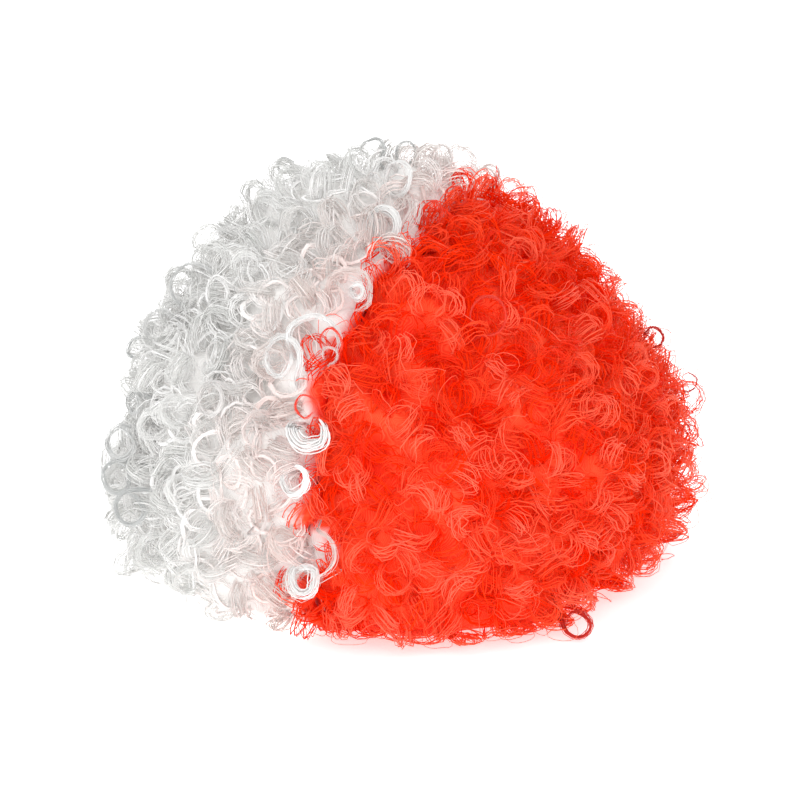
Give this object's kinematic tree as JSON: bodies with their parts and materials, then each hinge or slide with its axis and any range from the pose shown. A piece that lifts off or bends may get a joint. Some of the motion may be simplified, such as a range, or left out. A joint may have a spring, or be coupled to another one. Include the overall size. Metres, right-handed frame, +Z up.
{
  "type": "afro wig",
  "caption": "Round curly costume wig in two colours, parted down the middle, with a stretch cap inside that pulls on over a head.",
  "frame": {"origin": "on the resting surface, under the middle of the wig's box", "axes": "+Z up through the crown, -Y the brow and +Y the nape, +X the red half"},
  "size_m": [0.3082, 0.3198, 0.2137],
  "materials": {
    "cap_net": "fine stretch net, matt",
    "white_fibre": "glossy curled synthetic fibre",
    "red_fibre": "glossy frizzy synthetic fibre"
  },
  "bodies": {
    "root": {"wig_cap": "cap_net", "white_hair": "white_fibre", "red_hair": "red_fibre"}
  },
  "joints": []
}
